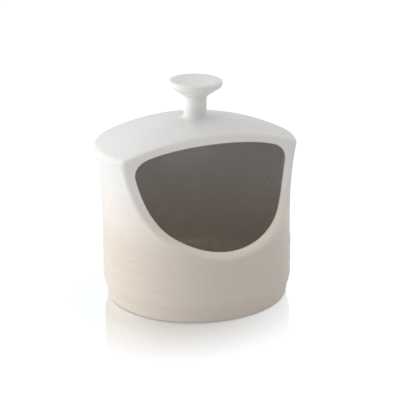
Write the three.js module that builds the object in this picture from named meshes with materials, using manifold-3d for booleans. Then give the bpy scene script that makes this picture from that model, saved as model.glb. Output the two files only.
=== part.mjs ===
import * as THREE from "three";
import { mergeVertices } from "three/addons/utils/BufferGeometryUtils.js";
import Module from "manifold-3d";

// A salt pig: a round stoneware pot under a domed hood with a knob, open in a wide scooped mouth.
// Millimetres, +Z up. The origin is the centre of the foot's underside and the mouth faces -Y.
// Profiles are lists of points (distance from the axis, height), listed with the clay on the left.

// Foot: flat underneath, standing in from the wall
const foot_inset = 1.7;
const foot_edge = 1;

// Outside of the wall: a taper, three soft rings with grooves between, a plain stretch and a flare
const wall_radius = 51.3;
const taper_height = 12.4;
const low_groove_height = 16.4;
const high_groove_height = 25.1;
const ring_top_height = 33.6;
const ring_relief = 0.8;
const groove_relief = 0.25;
const ring_power_share = 4;
const flare_height = 31.5;
const rim_flare = 3.6;
const rim_height = 84.5;

// Inside of the wall
const wall_thickness = 4.7;
const rim_thickening = 1.7;
const floor_thickness = 6;
const floor_corner = 9;

// Hood: a dome on a rounded rim, with a rounded corner inside
const dome_rise = 15;
const rim_rounding = 3.5;
const hood_thickness = 5;
const hood_corner = 10.4;

// Mouth: the cut seen from the side, deepest at its waist, leaning forward above and below
const mouth_depth = 23.5;
const waist_drop = 6.1;
const brow_radius = 21.5;
const brow_angle = THREE.MathUtils.degToRad(36);
const brow_lean = THREE.MathUtils.degToRad(13);
const scoop_radius = 42.4;
const scoop_angle = THREE.MathUtils.degToRad(47);
const lip_fall = 2.8;
const cut_overrun = 10;

// Knob: a slim stem that widens to a shallow dished cap
const knob_height = 20.2;
const knob_foot_radius = 7;
const knob_foot_height = 5;
const knob_land_margin = 0.5;
const stem_radius = 5.85;
const neck_radius = 6.2;
const cap_radius = 14.5;
const cap_edge = 0.9;
const cap_shoulder_width = 3.2;
const cap_shoulder_drop = 1.1;
const cap_slope = THREE.MathUtils.degToRad(40);
const cap_dish = 0.5;

// Facets
const pot_segments = 72;
const knob_segments = 40;
const corner_steps = 5;
const ring_steps = 8;
const flare_steps = 7;
const dome_steps = 9;
const mouth_steps = 10;

// Colours of the glaze
const beige = 0xd8cabb;
const white = 0xe9e8e5;

const quarter = Math.PI / 2;

// Derived sizes
const foot_radius = wall_radius - foot_inset;
const rim_radius = wall_radius + rim_flare;
const ring_radius = wall_radius + ring_relief;
const groove_radius = wall_radius + groove_relief;
const inner_radius = wall_radius - wall_thickness;
const inner_top_radius = rim_radius - wall_thickness - rim_thickening;
const flare_start = rim_height - flare_height;

// The dome's arc has its centre on the axis and touches the arc of the rounded rim
const rim_arc_radius = rim_radius - rim_rounding;
const dome_lift = dome_rise - rim_rounding;
const dome_radius = (rim_arc_radius ** 2 + dome_rise ** 2 - rim_rounding ** 2) / (2 * dome_lift);
const dome_top = rim_height + dome_rise;
const dome_centre = point(0, dome_top - dome_radius);
const rim_angle = Math.atan2(rim_height - dome_centre.y, rim_arc_radius);

// The corner inside touches the underside of the dome and the top of the inner wall
const hood_inner_radius = dome_radius - hood_thickness;
const corner_across = inner_top_radius - hood_corner;
const corner_reach = hood_inner_radius - hood_corner;
const corner_rise = Math.sqrt(corner_reach ** 2 - corner_across ** 2);
const corner_centre = point(corner_across, dome_centre.y + corner_rise);
const corner_angle = Math.atan2(corner_rise, corner_across);
const joint_angle = Math.asin((rim_height - corner_centre.y) / hood_corner);

// The knob stands on a flat land at the top of the dome
const land_radius = knob_foot_radius + knob_land_margin;
const land_rise = Math.sqrt(dome_radius ** 2 - land_radius ** 2);
const land_height = dome_centre.y + land_rise;
const land_angle = Math.atan2(land_rise, land_radius);

const wasm = await Module();
wasm.setup();

function point(radius, height) {
  return new THREE.Vector2(radius, height);
}

function arc(centre, radius, from, to, steps) {
  const points = [];
  for (let i = 0; i <= steps; i += 1) {
    const angle = from + (to - from) * (i / steps);
    points.push(point(centre.x + radius * Math.cos(angle), centre.y + radius * Math.sin(angle)));
  }
  return points;
}

// Merges shared vertices and leaves out the flat triangles that a turned profile has on its axis
function weld(geometry) {
  geometry.deleteAttribute("normal");
  geometry.deleteAttribute("uv");
  const welded = mergeVertices(geometry);
  const corners = welded.index.array;
  const kept = [];
  for (let i = 0; i < corners.length; i += 3) {
    const [a, b, c] = corners.slice(i, i + 3);
    if (a !== b && b !== c && c !== a) {
      kept.push(a, b, c);
    }
  }
  welded.setIndex(kept);
  return welded;
}

function turned(profile, segments) {
  const geometry = new THREE.LatheGeometry(profile, segments);
  geometry.rotateX(quarter);
  return weld(geometry);
}

function toSolid(geometry) {
  const vertProperties = new Float32Array(geometry.attributes.position.array);
  const triVerts = new Uint32Array(geometry.index.array);
  return new wasm.Manifold(new wasm.Mesh({ numProp: 3, vertProperties, triVerts }));
}

function toGeometry(solid) {
  const mesh = solid.getMesh();
  const geometry = new THREE.BufferGeometry();
  geometry.setAttribute("position", new THREE.BufferAttribute(mesh.vertProperties, 3));
  geometry.setIndex(new THREE.BufferAttribute(mesh.triVerts, 1));
  geometry.computeVertexNormals();
  return geometry;
}

function glaze(colour) {
  return new THREE.MeshStandardMaterial({ color: colour, roughness: 0.25, metalness: 0 });
}

function piece(name, geometry, colour) {
  const mesh = new THREE.Mesh(geometry, glaze(colour));
  mesh.name = name;
  return mesh;
}

// A soft ring between two heights, swelling out from one radius at its foot and one at its top
function ring(from, to) {
  const points = [];
  for (let i = 1; i <= ring_steps; i += 1) {
    const share = i / ring_steps;
    const swell = 1 - Math.abs(2 * share - 1) ** ring_power_share;
    const base = share < 1 / 2 ? from.x : to.x;
    points.push(point(base + (ring_radius - base) * swell, from.y + (to.y - from.y) * share));
  }
  return points;
}

// A stretch of wall that starts upright and leans out to a wider radius
function flare(from, to) {
  const points = [];
  for (let i = 0; i <= flare_steps; i += 1) {
    const share = i / flare_steps;
    points.push(point(from.x + (to.x - from.x) * share ** 2, from.y + (to.y - from.y) * share));
  }
  return points;
}

function bodyOutside() {
  const low_groove = point(groove_radius, low_groove_height);
  const high_groove = point(groove_radius, high_groove_height);
  return [
    point(0, 0),
    ...arc(point(foot_radius - foot_edge, foot_edge), foot_edge, -quarter, 0, corner_steps),
    point(ring_radius, taper_height),
    point(ring_radius, (taper_height + low_groove_height) / 2),
    low_groove,
    ...ring(low_groove, high_groove),
    ...ring(high_groove, point(wall_radius, ring_top_height)),
    ...flare(point(wall_radius, flare_start), point(rim_radius, rim_height)),
  ];
}

function bodyInside() {
  const floor_centre = point(inner_radius - floor_corner, floor_thickness + floor_corner);
  const inner_flare = flare(point(inner_radius, flare_start), point(inner_top_radius, corner_centre.y));
  return [
    ...arc(corner_centre, hood_corner, joint_angle, 0, corner_steps),
    ...inner_flare.reverse().slice(1),
    ...arc(floor_centre, floor_corner, 0, -quarter, corner_steps),
    point(0, floor_thickness),
  ];
}

function hoodProfile() {
  const rim_centre = point(rim_arc_radius, rim_height);
  return [
    ...arc(dome_centre, hood_inner_radius, quarter, corner_angle, dome_steps),
    ...arc(corner_centre, hood_corner, corner_angle, joint_angle, corner_steps).slice(1),
    ...arc(rim_centre, rim_rounding, 0, rim_angle, corner_steps),
    ...arc(dome_centre, dome_radius, rim_angle, land_angle, dome_steps).slice(1),
    point(0, land_height),
  ];
}

// The cut from the side, as points (distance in front of the axis, height), closed in front of the pot
function mouthOutline() {
  const waist = rim_height - waist_drop;
  const brow_centre = point(mouth_depth + brow_radius, waist);
  const scoop_centre = point(mouth_depth + scoop_radius, waist);
  const brow = arc(brow_centre, brow_radius, Math.PI - brow_angle, Math.PI, mouth_steps);
  const scoop = arc(scoop_centre, scoop_radius, Math.PI, Math.PI + scoop_angle, mouth_steps);
  const scoop_end = scoop[mouth_steps];
  const lip_height = scoop_end.y - (inner_radius - scoop_end.x) / Math.tan(scoop_angle);
  const top = dome_top + cut_overrun;
  const top_front = brow[0].x + (top - brow[0].y) * Math.tan(brow_lean);
  const front = rim_radius + cut_overrun;
  const front_fall = (lip_fall * (front - inner_radius)) / wall_thickness;
  return [
    point(top_front, top),
    ...brow,
    ...scoop.slice(1),
    point(inner_radius, lip_height),
    point(front, lip_height - front_fall),
    point(front, top),
  ];
}

// The cut runs straight across the pot, wider than the rim
function mouthCutter() {
  const half_width = rim_radius + cut_overrun;
  const outline = new THREE.Shape(mouthOutline());
  const geometry = new THREE.ExtrudeGeometry(outline, { depth: 2 * half_width, bevelEnabled: false });
  const forward = new THREE.Vector3(0, -1, 0);
  const up = new THREE.Vector3(0, 0, 1);
  const across = new THREE.Vector3(-1, 0, 0);
  geometry.applyMatrix4(new THREE.Matrix4().makeBasis(forward, up, across));
  geometry.translate(half_width, 0, 0);
  return toSolid(weld(geometry));
}

function knobFoot(seat) {
  const points = [];
  for (let i = 0; i <= corner_steps; i += 1) {
    const share = i / corner_steps;
    const radius = stem_radius + (knob_foot_radius - stem_radius) * (1 - share) ** 2;
    points.push(point(radius, seat + knob_foot_height * share));
  }
  return points;
}

// The neck's arc leaves the stem upright and runs into the cap's sloping underside
function knobProfile(seat) {
  const top = seat + knob_height;
  const edge_centre = point(cap_radius - cap_edge, top - cap_shoulder_drop);
  const edge = arc(edge_centre, cap_edge, cap_slope - quarter, quarter, corner_steps);
  const neck_end_radius = stem_radius + neck_radius * (1 - Math.sin(cap_slope));
  const neck_end_height = edge[0].y - (edge[0].x - neck_end_radius) * Math.tan(cap_slope);
  const neck_height = neck_end_height - neck_radius * Math.cos(cap_slope);
  const neck_centre = point(stem_radius + neck_radius, neck_height);
  return [
    point(0, seat),
    ...knobFoot(seat),
    ...arc(neck_centre, neck_radius, Math.PI, quarter + cap_slope, corner_steps),
    ...edge,
    point(cap_radius - cap_shoulder_width, top),
    point(0, top - cap_dish),
  ];
}

const mouth = mouthCutter();
const body = toSolid(turned([...bodyOutside(), ...bodyInside()], pot_segments)).subtract(mouth);
const hood = toSolid(turned(hoodProfile(), pot_segments)).subtract(mouth);
const knob = turned(knobProfile(land_height), knob_segments);

const saltPig = new THREE.Group();
saltPig.add(piece("pot_body", toGeometry(body), beige));
saltPig.add(piece("hood", toGeometry(hood), white));
saltPig.add(piece("knob", knob, white));

export default saltPig;
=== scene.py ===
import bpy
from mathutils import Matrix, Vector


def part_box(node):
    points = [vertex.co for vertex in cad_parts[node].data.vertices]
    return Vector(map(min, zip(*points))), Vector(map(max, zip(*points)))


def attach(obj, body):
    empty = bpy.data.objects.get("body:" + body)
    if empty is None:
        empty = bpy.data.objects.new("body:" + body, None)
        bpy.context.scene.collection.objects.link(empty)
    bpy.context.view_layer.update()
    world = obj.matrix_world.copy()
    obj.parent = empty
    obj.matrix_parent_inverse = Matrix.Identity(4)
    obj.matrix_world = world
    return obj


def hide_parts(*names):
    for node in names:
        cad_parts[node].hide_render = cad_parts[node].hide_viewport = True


bl_info = {
    "name": "Salt pig",
    "version": (1, 0, 0),
    "blender": (4, 5, 0),
    "location": "3D View > Sidebar > Salt pig",
    "description": "Turns, opens and glazes a round salt pig with a domed hood and a knob",
    "category": "Add Mesh",
}

import math
from types import SimpleNamespace

import bmesh
import bpy
from bpy.props import FloatProperty, FloatVectorProperty, IntProperty, PointerProperty
from mathutils import Quaternion, Vector

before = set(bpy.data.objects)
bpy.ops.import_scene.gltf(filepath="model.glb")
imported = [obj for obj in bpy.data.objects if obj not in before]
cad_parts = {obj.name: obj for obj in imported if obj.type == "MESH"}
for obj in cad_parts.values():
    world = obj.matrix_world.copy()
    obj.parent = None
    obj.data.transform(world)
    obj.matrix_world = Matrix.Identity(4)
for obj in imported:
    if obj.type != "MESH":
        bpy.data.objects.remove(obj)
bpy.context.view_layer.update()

# What the sizes take from the frame
body_low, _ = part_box("pot_body")
hood_low, hood_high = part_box("hood")
_, knob_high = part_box("knob")

# Name, azimuth and elevation in degrees, and share of the lamp power
LAMPS = (
    ("left_lamp", -122, 0, 0.74),
    ("near_left_lamp", -99, 0, 0.67),
    ("back_lamp", -150, 45, 0.1),
    ("right_back_lamp", 120, 45, 0.055),
    ("right_lamp", 70, 15, 0.04),
    ("top_lamp", 0, 88, 0.13),
)
QUARTER = math.pi / 2
BODY, HOOD, KNOB = range(3)
CLAY = "whole_clay"

RING_SQUARENESS = 4  # power by which a ring falls off to its grooves
PATCH_REACH = 0.62  # where the mouth's patch ends on the roof, as a share of brow plus land
DISH_STEEPNESS = 1.6  # how much sooner than at the axis the cap's hollow reaches its depth
KNOB_SEAT = 0.12  # share of the foot's height at which the knob is parted from the hood

HALVINGS = 40  # steps of a search for a crossing
SOFT_REACH = 0.8  # largest share of the way to the patch's border that a rounding takes
RING_CROWDING = 1.4  # how much the patch's rings crowd at the lip

# How far the colours of the lip and the inside have set in, over the loops of a rounding
# The lip's lighter colour is partly thin glaze and partly a painted highlight, fullest over the inner
# rounding.
LIP_START = (0.1, 0.3, 0.5, 0.7)
LIP_MIDDLE = 0.85
LIP_END = (1, 1, 1, 1)
OUTSIDE_ONLY = (0, 0, 0, 0)
INSIDE_START = (0, 0.1, 0.9, 1)

# Patterns in the glaze: scale and detail of the noise, and what it does
DRIFT_NOISE, DRIFT = (22, 3), 0.006
WOBBLE_NOISE, WOBBLE = (120, 2), 0.25
MOTTLE_NOISE, MOTTLE = (150, 2), (0.35, 0.65, 0.992, 1.004)
GLOSS_NOISE, GLOSS_RANGE, GLOSS_SPREAD = (90, 3), (0.3, 0.7), 0.02
WAVE_NOISE, WAVE_SHARE = (38, 1), 12
GRAIN_NOISE = (600, 1)
BUMP_STRENGTH = 0.2
BUMP_DISTANCE = 0.00001

INSIDE_BORDER = (0.4, 0.6)  # where the glaze of the inside takes over
GLAZE_IOR = 1.5
BARE_EDGE = 1.8  # where the foot's glaze is full, as a share of the bare height
CLAY_ROUGHNESS = 0.6  # how much rougher the bare clay is

MATT_FLOOR = (0.8, 0.8, 0.8)
MIRROR_TINT = (0.94, 0.97, 1, 1)
WHITE = (1, 1, 1, 1)


def length(name, description, default):
    """A length in metres, as a setting of the panel."""
    return FloatProperty(
        name=name, description=description, default=default, unit="LENGTH", subtype="DISTANCE", precision=5
    )


def angle(name, description, degrees):
    """An angle, as a setting of the panel."""
    return FloatProperty(
        name=name, description=description, default=math.radians(degrees), unit="ROTATION", subtype="ANGLE"
    )


def count(name, description, default):
    """A whole number, as a setting of the panel."""
    return IntProperty(name=name, description=description, default=default, min=1)


def amount(name, description, default):
    """A plain number, as a setting of the panel."""
    return FloatProperty(name=name, description=description, default=default)


def share(name, description, default):
    """A number from 0 to 1, as a setting of the panel."""
    return FloatProperty(name=name, description=description, default=default, min=0, max=1, subtype="FACTOR")


def linear(channel):
    """An sRGB channel from 0 to 255 as the linear value that the renderer works with."""
    value = channel / 255
    return value / 12.92 if value <= 0.04045 else ((value + 0.055) / 1.055) ** 2.4


def colour(name, description, red, green, blue):
    """A colour, as a setting of the panel, from its sRGB channels."""
    return FloatVectorProperty(
        name=name,
        description=description,
        default=(linear(red), linear(green), linear(blue)),
        subtype="COLOR",
        size=3,
        min=0,
        max=1,
    )


class PotSizes(bpy.types.PropertyGroup):
    """Sizes of the clay"""

    foot_inset: length("Foot inset", "How far the foot stands in from the wall", 0.0017)
    foot_edge: length("Foot edge", "Rounding of the foot's edge", 0.0012)
    band_height: length("Base band height", "Top of the plain band above the foot", 0.0066)
    band_inset: length("Base band inset", "How far the band's top stands in from the wall", 0.00085)
    taper_height: length("Taper height", "Where the lowest ring reaches its full radius", 0.0124)
    low_groove_height: length("Low groove height", "Height of the groove below the wide ring", 0.0161)
    high_groove_height: length("High groove height", "Height of the groove above it", 0.0246)
    ring_top_height: length("Ring top height", "Where the rings end and the plain wall starts", 0.0336)
    ring_relief: length("Ring relief", "How far the rings stand out of the wall", 0.0004)
    groove_relief: length("Groove relief", "How far the grooves' floors stand out of the wall", 0.0001)
    ring_radius: length("Ring radius", "Radius over the rings", -body_low.y)
    rim_radius: length("Rim radius", "Radius over the rim", hood_high.x)
    rim_height: length("Rim height", "Height of the rim's widest point", hood_low.z)
    flare_height: length("Flare height", "Height over which the wall leans out to the rim", 0.0315)
    wall_thickness: length("Wall thickness", "Thickness of the plain wall", 0.0051)
    rim_thickening: length("Rim thickening", "How much thicker the wall is at the rim", 0.0013)
    floor_thickness: length("Floor thickness", "Thickness of the floor", 0.006)
    floor_corner: length("Floor corner", "Radius between the floor and the wall inside", 0.009)
    land_radius: length("Land radius", "Radius at which the dome meets the knob's foot", 0.0075)
    land_height: length("Land height", "Height of the dome there", hood_high.z)
    dome_rise: length("Dome rise", "Height of the dome's top over the rim", 0.015)
    rim_rounding: length("Rim rounding", "Radius of the rounded rim", 0.0024)
    hood_thickness: length("Hood thickness", "Thickness of the hood", 0.005)
    hood_corner: length("Hood corner", "Radius between the wall and the dome inside", 0.0104)
    pole_radius: length("Pole radius", "Radius of the flat spot that closes a shape on its axis", 0.001)


class MouthSizes(bpy.types.PropertyGroup):
    """Sizes of the mouth's cut and its lip"""

    depth: length("Depth", "How far in front of the axis the cut lies at its waist", 0.0233)
    waist_drop: length("Waist drop", "How far the waist lies below the rim", 0.0051)
    outer_brow: length("Outer brow", "Radius of the outer edge above the waist, seen from the side", 0.026)
    inner_brow: length("Inner brow", "Radius of the inner edge above the waist, seen from the side", 0.014)
    scoop_radius: length("Scoop radius", "Radius of the cut below the waist, seen from the side", 0.0447)
    scoop_angle: angle("Scoop angle", "How far the scoop turns before it runs straight to the lip", 47.9)
    lip_fall: length("Lip fall", "How far the lower lip falls to the outside", 0.0028)
    lip_turn: length("Lip turn", "Height over which the lip turns from the axis to lie across", 0.032)
    wall_softness: length("Wall softness", "Rounding of the lip towards the plain wall", 0.0017)
    brow_softness: length("Brow softness", "Rounding of the lip towards the roof", 0.0024)
    inner_softness: length("Inner softness", "Rounding of the lip towards the inside", 0.0013)


class KnobSizes(bpy.types.PropertyGroup):
    """Sizes of the knob"""

    top_height: length("Top height", "Height of the knob's top", knob_high.z)
    cap_radius: length("Cap radius", "Radius of the cap", knob_high.x + 0.0001)
    fillet_radius: length("Fillet radius", "Radius at which the roof starts to rise to the stem", 0.0098)
    foot_height: length("Foot height", "Height over which the foot narrows to the stem", 0.0022)
    stem_radius: length("Stem radius", "Radius of the stem", 0.0062)
    neck_radius: length("Neck radius", "Radius of the curve under the cap", 0.0035)
    cap_slope: angle("Cap slope", "Slope of the cap's underside", 34)
    cap_under_edge: length("Cap under edge", "Rounding of the cap's edge below its widest point", 0.0027)
    cap_edge: length("Cap edge", "Rounding of the cap's edge above its widest point", 0.0015)
    cap_rise: length("Cap rise", "How far the cap's edge stands over the top height", 0.0002)
    cap_dish: length("Cap dish", "Depth of the cap's hollow below its edge", 0.0009)
    lean: angle("Lean", "How far the cap leans", 2.3)
    lean_azimuth: angle("Lean azimuth", "Where it leans to, round from the front", 15)


class MeshCounts(bpy.types.PropertyGroup):
    """How finely the clay is divided"""

    columns: count("Columns", "Faces round the pot", 96)
    mouth_columns: count("Mouth columns", "Columns that the mouth's patch takes to each side", 20)
    arc_rows: count("Arc rows", "Rows in a small rounding", 4)
    ring_rows: count("Ring rows", "Rows in a ring", 10)
    wall_rows: count("Wall rows", "Rows from the rings to the rim", 15)
    corner_rows: count("Corner rows", "How many of them lie in the corner inside", 3)
    rim_rows: count("Rim rows", "Rows over the rim's rounding", 4)
    roof_rows: count("Roof rows", "Rows from the rim to the top of the mouth's patch", 8)
    crown_rows: count("Crown rows", "Rows from there to the knob", 4)
    stem_rows: count("Stem rows", "Rows in each straight part of the knob", 2)
    dish_rows: count("Dish rows", "Rows over the hollow of the knob's cap", 8)
    patch_rings: count("Patch rings", "Rings of faces between the patch's border and the lip", 5)
    fineness: count("Fineness", "Steps per row when the mouth's edge is traced", 16)
    edge_samples: count("Edge samples", "Points traced along half of the mouth's edge", 400)


class GlazeColours(bpy.types.PropertyGroup):
    """Colours of the glazes"""

    white: colour("White", "Glaze of the hood and the upper wall", 236, 235, 233)
    warm_white: colour("Warm white", "Glaze half way down the fade", 234, 227, 219)
    beige: colour("Beige", "Glaze of the lower wall", 224, 213, 201)
    knob: colour("Knob", "Glaze of the knob", 243, 242, 240)
    # The lip's two colours are partly thin glaze and partly a painted highlight: lighter than the wall's
    # glaze where the lip catches light.
    lip: colour("Lip", "Thin glaze over the lip", 253, 250, 245)
    lip_low: colour("Lip, low", "Thin glaze over the lip's lowest part", 242, 232, 217)
    inside: colour("Inside", "Glaze of the inside", 222, 218, 217)
    inside_low: colour("Inside, low", "Glaze of the inside near the floor", 213, 205, 193)
    clay: colour("Clay", "Bare clay of the foot", 226, 218, 206)
    fade_bottom: length("Fade bottom", "Below this height the wall is beige", 0.034)
    fade_top: length("Fade top", "Above this height the wall is white", 0.074)
    lip_bottom: length("Lip bottom", "Below this height the lip has its low colour", 0.047)
    lip_top: length("Lip top", "Above this height the lip has its full colour", 0.07)
    inside_bottom: length("Inside bottom", "Below this height the inside has its low colour", 0.02)
    inside_top: length("Inside top", "Above this height the inside has its full colour", 0.075)
    knob_bottom: length("Knob bottom", "Height at which the knob's glaze starts to show", 0.102)
    knob_full: length("Knob full", "Above this height the knob's glaze covers all", 0.108)
    bare_height: length("Bare height", "Below this height the foot has no glaze", 0.0006)
    roughness: share("Roughness", "Roughness of the glaze", 0.26)


class StageSettings(bpy.types.PropertyGroup):
    """The camera, the lamps and the floor"""

    view_azimuth: angle("View azimuth", "How far the camera stands round from the front", -22)
    view_elevation: angle("View elevation", "How far the camera looks down", 18.36)
    view_distance: length("View distance", "From the camera to its target", 0.6792)
    view_roll: angle("View roll", "Turn of the camera about its own axis", -0.616)
    target_side: length("Target side", "The target's place across the pot", 0.00199)
    target_depth: length("Target depth", "The target's place from front to back", -0.0008)
    target_height: length("Target height", "The target's height", 0.05185)
    lens: amount("Lens", "Focal length in millimetres", 111.07)
    floor_size: length("Floor size", "Side of the square floor", 40)
    floor_light: amount("Floor light", "White that the floor shows where it is seen", 1)
    blurred_white: share("Blurred white", "Share of the white room that the glaze mirrors", 0.28)
    floor_shade: share("Floor shade", "How strongly shadows show on the floor", 0.125)
    mirror_side: length("Mirror side", "Middle of the floor's mirroring spot across the pot", -0.025)
    mirror_start: length("Mirror start", "Radius up to which the floor reflects most", 0.038)
    mirror_end: length("Mirror end", "Radius at which the floor stops reflecting", 0.098)
    mirror_share: share("Mirror share", "Share of the floor's light that it reflects at the pot's foot", 0.81)
    lamp_size: length("Lamp size", "Side of each square lamp", 0.75)
    lamp_distance: length("Lamp distance", "From each lamp to the pot", 1.1)
    veiled_azimuth: angle("Veiled azimuth", "Lamps up to this azimuth are not mirrored by the glaze", -90)
    lamp_power: amount("Lamp power", "Power in watts of a lamp whose share is 1", 10)
    room_light: amount("Room light", "Light from all round", 0.535)


def point(radius, height):
    """A point of a profile."""
    return Vector((radius, height))


def arc(centre, radius, start, end, steps):
    """Points along an arc, both ends included."""
    angles = [start + (end - start) * i / steps for i in range(steps + 1)]
    return [centre + radius * point(math.cos(a), math.sin(a)) for a in angles]


def bend(start, corner, end, steps):
    """Points along a curve that leaves start towards the corner and reaches end from it."""
    shares = [i / steps for i in range(steps + 1)]
    return [start * (1 - t) ** 2 + corner * (2 * t * (1 - t)) + end * t**2 for t in shares]


def straight(start, end, steps):
    """Points along a straight line, both ends included."""
    return [start.lerp(end, i / steps) for i in range(steps + 1)]


def ring(low, high, radius, steps):
    """A soft ring between two points, without the lower one."""
    points = []
    for i in range(1, steps + 1):
        t = i / steps
        swell = 1 - abs(2 * t - 1) ** RING_SQUARENESS
        base = low.x if t < 0.5 else high.x
        points.append(point(base + (radius - base) * swell, low.y + (high.y - low.y) * t))
    return points


def form_of(sizes):
    """The centres and angles at which the arcs of the wall, the rim and the dome touch."""
    wall_radius = sizes.ring_radius - sizes.ring_relief
    rim_centre = point(sizes.rim_radius - sizes.rim_rounding, sizes.rim_height)
    lift = sizes.dome_rise - sizes.rim_rounding
    dome_radius = (rim_centre.x**2 + sizes.dome_rise**2 - sizes.rim_rounding**2) / (2 * lift)
    dome_centre = point(0, sizes.rim_height + sizes.dome_rise - dome_radius)
    rim_angle = math.atan2(sizes.rim_height - dome_centre.y, rim_centre.x)
    inner_top_radius = sizes.rim_radius - sizes.wall_thickness - sizes.rim_thickening
    across = inner_top_radius - sizes.hood_corner
    under_radius = dome_radius - sizes.hood_thickness
    reach = under_radius - sizes.hood_corner
    corner_rise = math.sqrt(reach**2 - across**2)
    corner_centre = point(across, dome_centre.y + corner_rise)
    return SimpleNamespace(
        wall_radius=wall_radius,
        inner_radius=wall_radius - sizes.wall_thickness,
        inner_top_radius=inner_top_radius,
        flare_start=sizes.rim_height - sizes.flare_height,
        rim_centre=rim_centre,
        rim_angle=rim_angle,
        dome_centre=dome_centre,
        dome_radius=dome_radius,
        under_radius=under_radius,
        corner_centre=corner_centre,
        corner_angle=math.atan2(corner_rise, across),
        joint_angle=math.asin((sizes.rim_height - corner_centre.y) / sizes.hood_corner),
    )


def leaning_wall(low_radius, high_radius, low, start, end, steps):
    """Points up a wall that is upright up to start and leans out to its end, without the last one."""
    points = []
    for i in range(steps):
        height = low + (end - low) * i / steps
        lean = max(0, (height - start) / (end - start))
        points.append(point(low_radius + (high_radius - low_radius) * lean**2, height))
    return points


def patch_top_radius(sizes, mouth):
    """Radius on the roof of the mouth's patch, between the brow and the knob's foot."""
    return (mouth.depth + sizes.land_radius) * PATCH_REACH


def outer_patch(sizes, mouth, form, counts, fine=1):
    """Outer profile over the rows that the mouth opens: wall, rim and roof."""
    steps = counts.wall_rows * fine
    heights = sizes.ring_top_height, form.flare_start, sizes.rim_height
    wall = leaning_wall(form.wall_radius, sizes.rim_radius, *heights, steps)
    rim = arc(form.rim_centre, sizes.rim_rounding, 0, form.rim_angle, counts.rim_rows * fine)
    top_angle = math.acos(patch_top_radius(sizes, mouth) / form.dome_radius)
    roof = arc(form.dome_centre, form.dome_radius, form.rim_angle, top_angle, counts.roof_rows * fine)
    return wall + rim + roof[1:]


def inner_patch(sizes, mouth, form, counts, fine=1):
    """Inner profile over the same rows: wall, corner and underside of the dome."""
    steps = (counts.wall_rows - counts.corner_rows) * fine
    heights = sizes.ring_top_height, form.flare_start, form.corner_centre.y
    wall = leaning_wall(form.inner_radius, form.inner_top_radius, *heights, steps)
    corner = form.corner_centre, sizes.hood_corner
    low_corner = arc(*corner, 0, form.joint_angle, counts.corner_rows * fine)
    high_corner = arc(*corner, form.joint_angle, form.corner_angle, counts.rim_rows * fine)
    top_angle = math.acos(patch_top_radius(sizes, mouth) / form.under_radius)
    under = arc(form.dome_centre, form.under_radius, form.corner_angle, top_angle, counts.roof_rows * fine)
    return wall + low_corner + high_corner[1:] + under[1:]


def outer_foot(sizes, form, counts):
    """Outer profile below the mouth: underside, foot, band and rings."""
    foot_radius = form.wall_radius - sizes.foot_inset
    edge_centre = point(foot_radius - sizes.foot_edge, sizes.foot_edge)
    band_top = point(form.wall_radius - sizes.band_inset, sizes.band_height)
    low_ring = point(sizes.ring_radius, sizes.taper_height)
    low_groove = point(form.wall_radius + sizes.groove_relief, sizes.low_groove_height)
    high_groove = point(form.wall_radius + sizes.groove_relief, sizes.high_groove_height)
    ring_top = point(form.wall_radius, sizes.ring_top_height)
    step_corner = point(sizes.ring_radius, (sizes.band_height + sizes.taper_height) / 2)
    shoulder = point(sizes.ring_radius, (sizes.taper_height + sizes.low_groove_height) / 2)
    return (
        straight(point(sizes.pole_radius, 0), point(edge_centre.x, 0), counts.arc_rows)
        + arc(edge_centre, sizes.foot_edge, -QUARTER, 0, counts.arc_rows)[1:]
        + straight(point(foot_radius, sizes.foot_edge), band_top, counts.arc_rows)[1:]
        + bend(band_top, step_corner, low_ring, counts.arc_rows)[1:]
        + bend(low_ring, shoulder, low_groove, counts.arc_rows)[1:]
        + ring(low_groove, high_groove, sizes.ring_radius, counts.ring_rows)
        + ring(high_groove, ring_top, sizes.ring_radius, counts.ring_rows)[:-1]
    )


def outer_crown(sizes, mouth, knob, form, counts):
    """Outer profile above the mouth: top of the roof, then the knob up to its dished cap."""
    start_angle = math.acos(patch_top_radius(sizes, mouth) / form.dome_radius)
    end_angle = math.acos(knob.fillet_radius / form.dome_radius)
    roof = arc(form.dome_centre, form.dome_radius, start_angle, end_angle, counts.crown_rows)
    stem_foot = point(knob.stem_radius, sizes.land_height + knob.foot_height)
    fillet = bend(roof[-1], point(knob.stem_radius, roof[-1].y), stem_foot, 2 * counts.arc_rows)
    widest = knob.top_height + knob.cap_rise - knob.cap_edge
    under_centre = point(knob.cap_radius - knob.cap_under_edge, widest)
    under = arc(under_centre, knob.cap_under_edge, knob.cap_slope - QUARTER, 0, counts.arc_rows)
    edge = arc(point(knob.cap_radius - knob.cap_edge, widest), knob.cap_edge, 0, QUARTER, counts.arc_rows)
    neck_end_radius = knob.stem_radius + knob.neck_radius * (1 - math.sin(knob.cap_slope))
    neck_end_height = under[0].y - (under[0].x - neck_end_radius) * math.tan(knob.cap_slope)
    neck_height = neck_end_height - knob.neck_radius * math.cos(knob.cap_slope)
    neck_centre = point(knob.stem_radius + knob.neck_radius, neck_height)
    neck = arc(neck_centre, knob.neck_radius, math.pi, QUARTER + knob.cap_slope, 2 * counts.arc_rows)
    hollow = []
    for i in range(1, counts.dish_rows + 1):
        t = i / counts.dish_rows
        fall = knob.cap_dish * (1 - math.cos(math.pi * min(1, DISH_STEEPNESS * t))) / 2
        hollow.append(point(edge[-1].x + (sizes.pole_radius - edge[-1].x) * t, edge[-1].y - fall))
    return (
        roof[1:]
        + fillet[1:]
        + straight(stem_foot, neck[0], counts.stem_rows)[1:]
        + neck[1:]
        + straight(neck[-1], under[0], counts.stem_rows)[1:]
        + under[1:]
        + edge[1:]
        + hollow
    )


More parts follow.
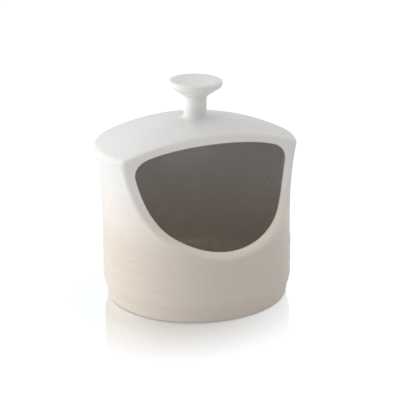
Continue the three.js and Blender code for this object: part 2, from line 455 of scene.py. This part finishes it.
def inner_floor(sizes, form, counts):
    """Inner profile below the mouth: floor, rounded corner and wall."""
    centre = point(form.inner_radius - sizes.floor_corner, sizes.floor_thickness + sizes.floor_corner)
    middle = point(sizes.pole_radius, sizes.floor_thickness)
    floor = straight(middle, point(centre.x, sizes.floor_thickness), counts.arc_rows)
    corner = arc(centre, sizes.floor_corner, -QUARTER, 0, counts.arc_rows)
    wall = straight(corner[-1], point(form.inner_radius, sizes.ring_top_height), counts.arc_rows)
    return floor + corner[1:] + wall[1:-1]


def inner_crown(sizes, mouth, form, counts):
    """Inner profile above the mouth: the underside of the dome up to its middle."""
    start_angle = math.acos(patch_top_radius(sizes, mouth) / form.under_radius)
    end_angle = math.acos(sizes.pole_radius / form.under_radius)
    return arc(form.dome_centre, form.under_radius, start_angle, end_angle, counts.crown_rows)[1:]


class Surface:
    """A turned surface over the rows of the mouth's patch. A spot on it is (angle from the front, row)."""

    def __init__(self, points, fineness):
        self.points = points
        self.fineness = fineness
        self.rows = (len(points) - 1) / fineness

    def profile(self, row):
        """The profile's point at a row, which need not be whole."""
        position = min(max(row, 0), self.rows) * self.fineness
        index = min(int(position), len(self.points) - 2)
        return self.points[index].lerp(self.points[index + 1], position - index)

    def place(self, spot):
        """The spot's point in space."""
        at = self.profile(spot.y)
        return Vector((at.x * math.sin(spot.x), -at.x * math.cos(spot.x), at.y))

    def cut(self, depth_at, samples, middle_row):
        """Spots from the bottom of the cut's edge to its top, on the side where x is positive."""

        def opening(row):
            at = self.profile(row)
            return at.x - depth_at(at.y)

        bottom = crossing(opening, 0, middle_row)
        top = crossing(opening, self.rows, middle_row)
        spots = []
        for i in range(samples + 1):
            row = bottom + (top - bottom) * (1 - math.cos(math.pi * i / samples)) / 2
            at = self.profile(row)
            spots.append(Vector((math.acos(min(1, depth_at(at.y) / at.x)), row)))
        return spots


def crossing(function, closed, opened):
    """Where the function turns positive between a closed place and an open one."""
    for _ in range(HALVINGS):
        middle = (closed + opened) / 2
        if function(middle) > 0:
            opened = middle
        else:
            closed = middle
    return opened


def cut_depth(sizes, mouth, brow_radius):
    """The function that gives how far in front of the axis an edge lies at a height."""
    waist = sizes.rim_height - mouth.waist_drop
    scoop_end = waist - mouth.scoop_radius * math.sin(mouth.scoop_angle)

    def depth_at(height):
        radius = brow_radius if height > waist else mouth.scoop_radius
        if height > scoop_end:
            return mouth.depth + radius - math.sqrt(max(0, radius**2 - (height - waist) ** 2))
        end_depth = mouth.depth + radius * (1 - math.cos(mouth.scoop_angle))
        return end_depth + (scoop_end - height) * math.tan(mouth.scoop_angle)

    return depth_at


def spaced(surface, spots, seam_row, low_count, high_count):
    """Spots at even distances from the bottom of an edge to the seam's row, and from there to its top."""
    places = [surface.place(spot) for spot in spots]
    walked = [0]
    for a, b in zip(places, places[1:]):
        walked.append(walked[-1] + (b - a).length)
    seam = next(i for i, spot in enumerate(spots) if spot.y >= seam_row)
    seam_share = (seam_row - spots[seam - 1].y) / (spots[seam].y - spots[seam - 1].y)
    seam_walk = walked[seam - 1] + (walked[seam] - walked[seam - 1]) * seam_share
    goals = [seam_walk * i / low_count for i in range(low_count)]
    goals += [seam_walk + (walked[-1] - seam_walk) * i / high_count for i in range(high_count + 1)]
    found = []
    index = 1
    for goal in goals:
        while index < len(walked) - 1 and walked[index] < goal:
            index += 1
        step = walked[index] - walked[index - 1]
        found.append(spots[index - 1].lerp(spots[index], min(1, (goal - walked[index - 1]) / step)))
    return found


def row_at_height(surface, height, top_row):
    """The wall's row that lies at a height."""
    return crossing(lambda row: surface.profile(row).y - height, 0, top_row)


def outer_edge(outer, inner, inner_spots, sizes, mouth, counts):
    """The outer edge's spots: the lip lies across the wall at the waist and turns to the axis below it."""
    bottom = inner.place(inner_spots[0]).z
    low_count = counts.mouth_columns + counts.wall_rows
    spots = []
    for spot in inner_spots[:low_count]:
        at = inner.place(spot)
        turn = 1 - min(1, (at.z - bottom) / mouth.lip_turn)
        row = row_at_height(outer, at.z - mouth.lip_fall * turn * math.cos(spot.x) ** 2, counts.wall_rows)
        across = math.acos(min(1, -at.y / outer.profile(row).x))
        spots.append(Vector((spot.x * turn + across * (1 - turn), row)))
    depth_at = cut_depth(sizes, mouth, mouth.outer_brow)
    traced = outer.cut(depth_at, counts.edge_samples, counts.wall_rows)
    high_count = len(inner_spots) - 1 - low_count
    return spots + spaced(outer, traced, counts.wall_rows, low_count, high_count)[low_count:]


def patch_border(counts, rows):
    """The half border of the mouth's patch as (column, row), from its bottom middle to its top middle."""
    side = counts.mouth_columns
    bottom = [(column, 0) for column in range(side + 1)]
    upright = [(side, row) for row in range(1, rows + 1)]
    top = [(column, rows) for column in range(side - 1, -1, -1)]
    return bottom + upright + top


def moved_along(start, end, surface, distance):
    """The spot that lies a distance from one spot towards another."""
    span = (surface.place(end) - surface.place(start)).length
    return start.lerp(end, min(SOFT_REACH, distance / span))


def mirrored(half):
    """A whole loop from the half on the side where x is positive."""
    return half + [Vector((-p.x, p.y, p.z)) for p in reversed(half[1:-1])]


def turn_profile(bm, profile, columns):
    """Turns a profile about the axis and returns its corners by (column, row)."""
    row_layer = bm.verts.layers.int["row"]
    verts = []
    for row, at in enumerate(profile):
        vert = bm.verts.new((0, -at.x, at.y))
        vert[row_layer] = row
        verts.append(vert)
    edges = [bm.edges.new(pair) for pair in zip(verts, verts[1:])]
    before = set(bm.verts) - set(verts)
    bmesh.ops.spin(
        bm,
        geom=verts + edges,
        cent=(0, 0, 0),
        axis=(0, 0, 1),
        dvec=(0, 0, 0),
        angle=2 * math.pi,
        steps=columns,
        use_merge=True,
        use_normal_flip=False,
        use_duplicate=False,
    )
    grid = {}
    for vert in set(bm.verts) - before:
        column = round(math.atan2(vert.co.x, -vert.co.y) * columns / (2 * math.pi)) % columns
        grid[column, vert[row_layer]] = vert
    return grid


def lean_cap(verts, sizes, knob):
    """Leans the knob above its foot, as the hand that set it did."""
    pivot = Vector((0, 0, sizes.land_height + knob.foot_height))
    axis = direction(knob.lean_azimuth + QUARTER, 0)
    half_height = (knob.top_height - pivot.z) / 2
    for vert in verts:
        bent = min(1, max(0, (vert.co.z - pivot.z) / half_height))
        vert.co = pivot + Quaternion(axis, knob.lean * bent) @ (vert.co - pivot)


def open_patch(bm, grid, counts, first_row, rows):
    """Takes the mouth's patch out of a turned sheet and returns the border's corners in order."""
    side = counts.mouth_columns
    inside = set()
    for column in range(-side, side + 1):
        for row in range(first_row, first_row + rows + 1):
            inside.add(grid[column % counts.columns, row])
    doomed = [face for face in bm.faces if all(vert in inside for vert in face.verts)]
    half = patch_border(counts, rows)
    whole = half + [(-column, row) for column, row in reversed(half[1:-1])]
    border = [grid[column % counts.columns, row + first_row] for column, row in whole]
    bmesh.ops.delete(bm, geom=doomed, context="FACES")
    return border


def close_pole(bm, grid, columns, row):
    """Closes the small hole that a turned sheet leaves round the axis."""
    ring_edges = []
    for column in range(columns):
        a = grid[column, row]
        b = grid[(column + 1) % columns, row]
        ring_edges.append(bm.edges.get((a, b)))
    bmesh.ops.edgeloop_fill(bm, edges=ring_edges)


def grow_loop(bm, loop, places, layers, values):
    """Extrudes a closed loop of corners to new places and returns the new loop."""
    edges = [bm.edges.get((a, b)) for a, b in zip(loop, loop[1:] + loop[:1])]
    made = bmesh.ops.extrude_edge_only(bm, edges=edges)["geom"]
    fresh = {item for item in made if isinstance(item, bmesh.types.BMVert)}
    grown = []
    for vert, place in zip(loop, places):
        twin = next(edge.other_vert(vert) for edge in vert.link_edges if edge.other_vert(vert) in fresh)
        twin.co = place
        for layer, value in zip(layers, values):
            twin[layer] = value
        grown.append(twin)
    return grown


def lip_loops(outer, inner, outer_spots, inner_spots, borders, mouth, counts):
    """The loops from the outer border over the lip to the inner border, as (places, lip, inside)."""
    rings = counts.patch_rings
    softness = [
        mouth.wall_softness
        + (mouth.brow_softness - mouth.wall_softness) * min(1, max(0, spot.y / counts.wall_rows) ** 2)
        for spot in outer_spots
    ]
    outer_starts = [
        moved_along(spot, border, outer, soft)
        for spot, border, soft in zip(outer_spots, borders, softness)
    ]
    inner_starts = [
        moved_along(spot, border, inner, mouth.inner_softness)
        for spot, border in zip(inner_spots, borders)
    ]
    outer_edges = [outer.place(spot) for spot in outer_spots]
    inner_edges = [inner.place(spot) for spot in inner_spots]
    loops = []
    for i in range(1, rings):
        t = 1 - (1 - i / rings) ** RING_CROWDING
        spots = [border.lerp(start, t) for start, border in zip(outer_starts, borders)]
        loops.append(([outer.place(spot) for spot in spots], 0, 0))
    face_starts = [
        edge.lerp(other, soft / (other - edge).length)
        for edge, other, soft in zip(outer_edges, inner_edges, softness)
    ]
    face_ends = [
        edge.lerp(other, mouth.inner_softness / (other - edge).length)
        for edge, other in zip(inner_edges, outer_edges)
    ]
    starts = [outer.place(spot) for spot in outer_starts]
    ends = [inner.place(spot) for spot in inner_starts]
    loops += fillet_loops(starts, outer_edges, face_starts, LIP_START, OUTSIDE_ONLY)
    loops.append(([a.lerp(b, 0.5) for a, b in zip(face_starts, face_ends)], LIP_MIDDLE, 0))
    loops += fillet_loops(face_ends, inner_edges, ends, LIP_END, INSIDE_START)
    for i in range(1, rings):
        t = (i / rings) ** RING_CROWDING
        spots = [start.lerp(border, t) for start, border in zip(inner_starts, borders)]
        loops.append(([inner.place(spot) for spot in spots], 0, 1))
    loops.append(([inner.place(spot) for spot in borders], 0, 1))
    return loops


def fillet_loops(starts, edges, ends, lips, insides):
    """The loops that round an edge off from its start to its end."""
    steps = len(lips) - 1
    curves = [bend(*corner, steps) for corner in zip(starts, edges, ends)]
    return [([curve[i] for curve in curves], lips[i], insides[i]) for i in range(steps + 1)]


def whole_clay(sizes, mouth, knob, counts):
    """The whole pot as one closed mesh, its faces numbered by the piece that they belong to."""
    form = form_of(sizes)
    foot = outer_foot(sizes, form, counts)
    floor = inner_floor(sizes, form, counts)
    patch_rows = counts.wall_rows + counts.rim_rows + counts.roof_rows
    crown = outer_crown(sizes, mouth, knob, form, counts)
    vault = inner_crown(sizes, mouth, form, counts)
    outer_profile = foot + outer_patch(sizes, mouth, form, counts) + crown
    inner_profile = floor + inner_patch(sizes, mouth, form, counts) + vault
    fine = counts.fineness
    outer = Surface(outer_patch(sizes, mouth, form, counts, fine), fine)
    inner = Surface(inner_patch(sizes, mouth, form, counts, fine), fine)

    low_count = counts.mouth_columns + counts.wall_rows
    high_count = counts.rim_rows + counts.roof_rows + counts.mouth_columns
    depth_at = cut_depth(sizes, mouth, mouth.inner_brow)
    traced = inner.cut(depth_at, counts.edge_samples, counts.wall_rows)
    inner_spots = spaced(inner, traced, counts.wall_rows, low_count, high_count)
    outer_spots = outer_edge(outer, inner, inner_spots, sizes, mouth, counts)
    step = 2 * math.pi / counts.columns
    borders = [Vector((column * step, row)) for column, row in patch_border(counts, patch_rows)]
    loops = lip_loops(outer, inner, outer_spots, inner_spots, borders, mouth, counts)

    bm = bmesh.new()
    bm.verts.layers.int.new("row")
    lip_layer = bm.verts.layers.float.new("lip")
    inside_layer = bm.verts.layers.float.new("inside")
    outer_grid = turn_profile(bm, outer_profile, counts.columns)
    inner_grid = turn_profile(bm, inner_profile, counts.columns)
    for vert in inner_grid.values():
        vert[inside_layer] = 1
    lean_cap(outer_grid.values(), sizes, knob)
    for grid, profile in ((outer_grid, outer_profile), (inner_grid, inner_profile)):
        close_pole(bm, grid, counts.columns, 0)
        close_pole(bm, grid, counts.columns, len(profile) - 1)
    loop = open_patch(bm, outer_grid, counts, len(foot), patch_rows)
    landing = open_patch(bm, inner_grid, counts, len(floor), patch_rows)
    for places, lip, inside in loops:
        loop = grow_loop(bm, loop, mirrored(places), (lip_layer, inside_layer), (lip, inside))
    bmesh.ops.weld_verts(bm, targetmap=dict(zip(loop, landing)))
    bmesh.ops.recalc_face_normals(bm, faces=bm.faces)
    number_pieces(bm, sizes, knob)
    return bm


def number_pieces(bm, sizes, knob):
    """Gives each face the number of its piece and smooth shading."""
    seat = knob_seat(sizes, knob)
    stem = sizes.land_height + knob.foot_height
    for face in bm.faces:
        face.smooth = True
        middle = face.calc_center_median()
        across = math.hypot(middle.x, middle.y)
        if middle.z > seat and (across < knob.fillet_radius or middle.z > stem):
            face.material_index = KNOB
        elif middle.z > sizes.rim_height:
            face.material_index = HOOD
        else:
            face.material_index = BODY


def knob_seat(sizes, knob):
    """Height at which the knob is parted from the hood, inside the fillet."""
    return sizes.land_height + knob.foot_height * KNOB_SEAT


def placed(name, data):
    """A new object of the scene."""
    made = bpy.data.objects.new(name, data)
    bpy.context.scene.collection.objects.link(made)
    return made


def smoothed(bm):
    """The mesh after one round of subdivision."""
    rough = bpy.data.meshes.new("rough_clay")
    bm.to_mesh(rough)
    bm.free()
    # A slot for each piece, so that the faces keep their numbers
    for _ in (BODY, HOOD, KNOB):
        rough.materials.append(None)
    carrier = placed("rough_clay", rough)
    division = carrier.modifiers.new("division", "SUBSURF")
    division.levels = 1
    division.render_levels = 1
    graph = bpy.context.evaluated_depsgraph_get()
    fine = bpy.data.meshes.new_from_object(
        carrier.evaluated_get(graph), preserve_all_data_layers=True, depsgraph=graph
    )
    bpy.data.objects.remove(carrier)
    bpy.data.meshes.remove(rough)
    return fine


def part_clay(clay, number, name):
    """One piece of the clay as a closed mesh that keeps the whole pot's smooth shading at its joints."""
    bm = bmesh.new()
    bm.from_mesh(clay)
    shading = bm.verts.layers.float_vector.new("shading")
    for vert in bm.verts:
        vert[shading] = vert.normal
    others = [face for face in bm.faces if face.material_index != number]
    bmesh.ops.delete(bm, geom=others, context="FACES")
    joints = set()
    for loop in boundary_loops(bm):
        filled = bmesh.ops.triangle_fill(bm, edges=loop, use_beauty=True, normal=(0, 0, 1))
        joints.update(item for item in filled["geom"] if isinstance(item, bmesh.types.BMFace))
    for face in joints:
        face.smooth = False
    bmesh.ops.recalc_face_normals(bm, faces=bm.faces)
    for face in bm.faces:
        face.material_index = 0
    bm.faces.index_update()
    flat = {face.index for face in joints}
    normals = []
    for face in bm.faces:
        for corner in face.loops:
            normals.append(face.normal.copy() if face.index in flat else Vector(corner.vert[shading]))
    mesh = bpy.data.meshes.new(name)
    bm.verts.layers.float_vector.remove(shading)
    bm.to_mesh(mesh)
    bm.free()
    mesh.normals_split_custom_set(normals)
    return mesh


def boundary_loops(bm):
    """The open edges, as one list for each closed loop."""
    left = {edge for edge in bm.edges if edge.is_boundary}
    loops = []
    while left:
        grown = [left.pop()]
        for edge in grown:
            for vert in edge.verts:
                for near in vert.link_edges:
                    if near in left:
                        left.remove(near)
                        grown.append(near)
        loops.append(grown)
    return loops


class SALTPIG_OT_turn_clay(bpy.types.Operator):
    """Turn the whole pot and open its mouth, for the pieces to be parted from"""

    bl_idname = "saltpig.turn_clay"
    bl_label = "Turn clay"

    def execute(self, context):
        scene = context.scene
        bm = whole_clay(scene.pot_sizes, scene.mouth_sizes, scene.knob_sizes, scene.mesh_counts)
        smoothed(bm).name = CLAY
        return {"FINISHED"}


def add_piece(number, name, node, glaze):
    """Parts a piece from the turned clay, glazes it and gives it its place in the frame."""
    mesh = part_clay(bpy.data.meshes[CLAY], number, name)
    mesh.materials.append(glaze)
    piece = placed(name, mesh)
    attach(piece, "root")
    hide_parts(node)


def put(tree, socket, value):
    """Links a socket to an input, or sets the input to a value."""
    if isinstance(value, bpy.types.NodeSocket):
        tree.links.new(value, socket)
    else:
        socket.default_value = value


def add_node(tree, kind, *values, **settings):
    """Adds a node with its first inputs fed and its properties set."""
    made = tree.nodes.new(kind)
    for name, value in settings.items():
        setattr(made, name, value)
    for socket, value in zip(made.inputs, values):
        put(tree, socket, value)
    return made


def feed(tree, node, **values):
    """Feeds the node's inputs by their names in small letters."""
    for name, value in values.items():
        put(tree, node.inputs[name.replace("_", " ").title()], value)


def noise(tree, source, scale, detail):
    """A noise pattern on the object's coordinates, from 0 to 1."""
    made = add_node(tree, "ShaderNodeTexNoise")
    feed(tree, made, vector=source, scale=scale, detail=detail)
    return made.outputs["Fac"]


def math_node(tree, operation, a, b):
    """A sum on two values or sockets."""
    return add_node(tree, "ShaderNodeMath", a, b, operation=operation).outputs[0]


def ranged(tree, value, low, high, to_low=0, to_high=1, smooth=True):
    """A value mapped from one range to another, and kept in it."""
    made = add_node(tree, "ShaderNodeMapRange", interpolation_type="SMOOTHSTEP" if smooth else "LINEAR")
    feed(tree, made, value=value, from_min=low, from_max=high, to_min=to_low, to_max=to_high)
    return made.outputs["Result"]


def mixed(tree, factor, a, b):
    """Two colours or sockets mixed by a socket."""
    made = add_node(tree, "ShaderNodeMix", factor, data_type="RGBA")
    for socket, value in ((made.inputs[6], a), (made.inputs[7], b)):
        put(tree, socket, value if isinstance(value, bpy.types.NodeSocket) else (*value, 1))
    return made.outputs[2]


def attribute(tree, name):
    """A number stored on the mesh."""
    return add_node(tree, "ShaderNodeAttribute", attribute_name=name).outputs["Fac"]


def glaze_material(name, colours, bare_foot):
    """Glossy glaze that fades from beige to white with height, with its own colours on lip and inside; the
    lip's lighter colour is partly thin glaze and partly a painted highlight.
    """
    material = bpy.data.materials.new(name)
    material.use_nodes = True
    tree = material.node_tree
    surface = tree.nodes["Principled BSDF"]
    place = add_node(tree, "ShaderNodeTexCoord").outputs["Object"]
    height = add_node(tree, "ShaderNodeSeparateXYZ", place).outputs["Z"]

    drift = ranged(tree, noise(tree, place, *DRIFT_NOISE), 0, 1, -DRIFT, DRIFT, smooth=False)
    level = math_node(tree, "ADD", height, drift)
    middle = (colours.fade_bottom + colours.fade_top) / 2
    low_fade = ranged(tree, level, colours.fade_bottom, middle)
    high_fade = ranged(tree, level, middle, colours.fade_top)
    outside = mixed(tree, low_fade, colours.beige, colours.warm_white)
    outside = mixed(tree, high_fade, outside, colours.white)
    knob_fade = ranged(tree, height, colours.knob_bottom, colours.knob_full)
    outside = mixed(tree, knob_fade, outside, colours.knob)
    # Painted highlight on the lip, partly thin glaze: a lighter colour mixed in by the lip attribute, fullest
    # on the inner rounding.
    lip_fade = ranged(tree, height, colours.lip_bottom, colours.lip_top)
    lip = mixed(tree, lip_fade, colours.lip_low, colours.lip)
    outside = mixed(tree, attribute(tree, "lip"), outside, lip)

    inside_fade = ranged(tree, height, colours.inside_bottom, colours.inside_top)
    inside = mixed(tree, inside_fade, colours.inside_low, colours.inside)
    wobble = ranged(tree, noise(tree, place, *WOBBLE_NOISE), 0, 1, -WOBBLE, WOBBLE, smooth=False)
    border = ranged(tree, math_node(tree, "ADD", attribute(tree, "inside"), wobble), *INSIDE_BORDER)
    glaze = mixed(tree, border, outside, inside)
    mottle = ranged(tree, noise(tree, place, *MOTTLE_NOISE), *MOTTLE, smooth=False)
    shaded = add_node(tree, "ShaderNodeVectorMath", glaze, operation="SCALE")
    feed(tree, shaded, scale=mottle)
    base = shaded.outputs[0]

    smoothest = colours.roughness - GLOSS_SPREAD
    roughest = colours.roughness + GLOSS_SPREAD
    gloss = ranged(tree, noise(tree, place, *GLOSS_NOISE), *GLOSS_RANGE, smoothest, roughest)
    if bare_foot:
        bare = ranged(tree, height, colours.bare_height, colours.bare_height * BARE_EDGE, 1, 0)
        base = mixed(tree, bare, base, colours.clay)
        gloss = math_node(tree, "ADD", gloss, math_node(tree, "MULTIPLY", bare, CLAY_ROUGHNESS))
    waves = math_node(tree, "MULTIPLY", noise(tree, place, *WAVE_NOISE), WAVE_SHARE)
    grain = math_node(tree, "ADD", waves, noise(tree, place, *GRAIN_NOISE))
    bump = add_node(tree, "ShaderNodeBump")
    feed(tree, bump, strength=BUMP_STRENGTH, distance=BUMP_DISTANCE, height=grain)
    feed(tree, surface, base_color=base, roughness=gloss, normal=bump.outputs["Normal"])
    surface.inputs["IOR"].default_value = GLAZE_IOR
    return material


class SALTPIG_OT_add_body(bpy.types.Operator):
    """Add the body: the ringed wall with its foot, its inside and the lower part of the mouth"""

    bl_idname = "saltpig.add_body"
    bl_label = "Add body"

    def execute(self, context):
        glaze = glaze_material("ombre_glaze", context.scene.glaze_colours, True)
        add_piece(BODY, "glazed_body", "pot_body", glaze)
        return {"FINISHED"}


class SALTPIG_OT_add_hood(bpy.types.Operator):
    """Add the hood: the dome over the back of the pot and the upper part of the mouth"""

    bl_idname = "saltpig.add_hood"
    bl_label = "Add hood"

    def execute(self, context):
        glaze = glaze_material("hood_glaze", context.scene.glaze_colours, False)
        add_piece(HOOD, "glazed_hood", "hood", glaze)
        return {"FINISHED"}


class SALTPIG_OT_add_knob(bpy.types.Operator):
    """Add the knob: the stem and its dished cap"""

    bl_idname = "saltpig.add_knob"
    bl_label = "Add knob"

    def execute(self, context):
        glaze = glaze_material("knob_glaze", context.scene.glaze_colours, False)
        add_piece(KNOB, "glazed_knob", "knob", glaze)
        return {"FINISHED"}


def seen_directly(tree, stage):
    """1 for rays that see the background as it is, and less for those that a glaze blurs."""
    path = add_node(tree, "ShaderNodeLightPath").outputs
    blurred = math_node(tree, "MULTIPLY", path["Is Glossy Ray"], stage.blurred_white)
    seen = math_node(tree, "MAXIMUM", path["Is Camera Ray"], path["Is Singular Ray"])
    seen = math_node(tree, "MAXIMUM", seen, blurred)
    return math_node(tree, "MAXIMUM", seen, path["Is Transmission Ray"])


def floor_material(stage):
    """White floor that keeps a soft shadow and mirrors the foot of the pot faintly where it is seen."""
    material = bpy.data.materials.new("white_floor")
    material.use_nodes = True
    material.cycles.emission_sampling = "NONE"
    tree = material.node_tree
    tree.nodes.remove(tree.nodes["Principled BSDF"])
    seen = seen_directly(tree, stage)
    matt = add_node(tree, "ShaderNodeBsdfDiffuse")
    feed(tree, matt, color=mixed(tree, seen, MATT_FLOOR, (stage.floor_shade,) * 3))
    glow = add_node(tree, "ShaderNodeEmission")
    feed(tree, glow, strength=math_node(tree, "MULTIPLY", seen, stage.floor_light))
    white = add_node(tree, "ShaderNodeAddShader", matt.outputs[0], glow.outputs[0])
    gloss = add_node(tree, "ShaderNodeBsdfGlossy")
    feed(tree, gloss, color=MIRROR_TINT, roughness=0)
    place = add_node(tree, "ShaderNodeTexCoord").outputs["Object"]
    middle = (stage.mirror_side, 0, 0)
    radius = add_node(tree, "ShaderNodeVectorMath", place, middle, operation="DISTANCE")
    fading = stage.mirror_start, stage.mirror_end, stage.mirror_share, 0
    mirror = ranged(tree, radius.outputs["Value"], *fading, smooth=False)
    camera_ray = add_node(tree, "ShaderNodeLightPath").outputs["Is Camera Ray"]
    seen_mirror = math_node(tree, "MULTIPLY", mirror, camera_ray)
    total = add_node(tree, "ShaderNodeMixShader", seen_mirror, white.outputs[0], gloss.outputs[0])
    feed(tree, tree.nodes["Material Output"], surface=total.outputs[0])
    return material


def make_floor(stage):
    """The floor that the pot stands on."""
    bm = bmesh.new()
    bmesh.ops.create_grid(bm, x_segments=1, y_segments=1, size=stage.floor_size / 2)
    mesh = bpy.data.meshes.new("floor")
    bm.to_mesh(mesh)
    bm.free()
    mesh.materials.append(floor_material(stage))
    floor = placed("floor", mesh)


def make_world(context, stage):
    """A white room: white where it is seen, and a plain light from all round."""
    world = bpy.data.worlds.new("white_room")
    world.use_nodes = True
    tree = world.node_tree
    background = tree.nodes["Background"]
    strength = ranged(tree, seen_directly(tree, stage), 0, 1, stage.room_light, 1, smooth=False)
    feed(tree, background, color=WHITE, strength=strength)
    context.scene.world = world


def direction(azimuth, elevation):
    """The direction from the pot towards a place round it."""
    level = math.cos(elevation)
    return Vector((math.sin(azimuth) * level, -math.cos(azimuth) * level, math.sin(elevation)))


def make_lamp(stage, name, azimuth, elevation, power_share):
    """One large soft lamp that faces the pot."""
    data = bpy.data.lights.new(name, "AREA")
    data.size = stage.lamp_size
    data.energy = stage.lamp_power * power_share
    lamp = placed(name, data)
    towards = direction(math.radians(azimuth), math.radians(elevation))
    lamp.location = towards * stage.lamp_distance + Vector((0, 0, stage.target_height))
    lamp.rotation_euler = (-towards).to_track_quat("-Z", "Y").to_euler()
    lamp.visible_glossy = math.radians(azimuth) > stage.veiled_azimuth


def make_camera(context, stage):
    """The camera at the photograph's place."""
    data = bpy.data.cameras.new("camera")
    data.lens = stage.lens
    camera = placed("camera", data)
    back = direction(stage.view_azimuth, stage.view_elevation)
    target = Vector((stage.target_side, stage.target_depth, stage.target_height))
    camera.location = target + back * stage.view_distance
    roll = Quaternion((0, 0, 1), stage.view_roll)
    camera.rotation_mode = "QUATERNION"
    camera.rotation_quaternion = (-back).to_track_quat("-Z", "Y") @ roll
    context.scene.camera = camera


class SALTPIG_OT_make_stage(bpy.types.Operator):
    """Make the floor, the room, the lamps and the camera"""

    bl_idname = "saltpig.make_stage"
    bl_label = "Make stage"

    def execute(self, context):
        stage = context.scene.stage_settings
        make_floor(stage)
        make_world(context, stage)
        for lamp in LAMPS:
            make_lamp(stage, *lamp)
        make_camera(context, stage)
        context.scene.view_settings.view_transform = "Standard"
        return {"FINISHED"}


class SALTPIG_PT_panel(bpy.types.Panel):
    """The salt pig's operators and settings"""

    bl_idname = "SALTPIG_PT_panel"
    bl_label = "Salt pig"
    bl_space_type = "VIEW_3D"
    bl_region_type = "UI"
    bl_category = "Salt pig"

    def draw(self, context):
        layout = self.layout
        for operator in OPERATORS:
            layout.operator(operator.bl_idname)
        for name in SETTINGS:
            group = getattr(context.scene, name)
            layout.label(text=group.bl_rna.description)
            for setting in group.__annotations__:
                layout.prop(group, setting)


SETTINGS = {
    "pot_sizes": PotSizes,
    "mouth_sizes": MouthSizes,
    "knob_sizes": KnobSizes,
    "mesh_counts": MeshCounts,
    "glaze_colours": GlazeColours,
    "stage_settings": StageSettings,
}
OPERATORS = (
    SALTPIG_OT_turn_clay,
    SALTPIG_OT_add_body,
    SALTPIG_OT_add_hood,
    SALTPIG_OT_add_knob,
    SALTPIG_OT_make_stage,
)
CLASSES = (*SETTINGS.values(), *OPERATORS, SALTPIG_PT_panel)


def register():
    for cls in CLASSES:
        bpy.utils.register_class(cls)
    for name, group in SETTINGS.items():
        setattr(bpy.types.Scene, name, PointerProperty(type=group))


def unregister():
    for name in SETTINGS:
        delattr(bpy.types.Scene, name)
    for cls in reversed(CLASSES):
        bpy.utils.unregister_class(cls)


def main():
    """Makes the pot and its stage."""
    register()
    bpy.ops.saltpig.turn_clay()
    bpy.ops.saltpig.add_body()
    bpy.ops.saltpig.add_hood()
    bpy.ops.saltpig.add_knob()
    bpy.data.meshes.remove(bpy.data.meshes[CLAY])
    bpy.ops.saltpig.make_stage()


if __name__ == "__main__":
    main()
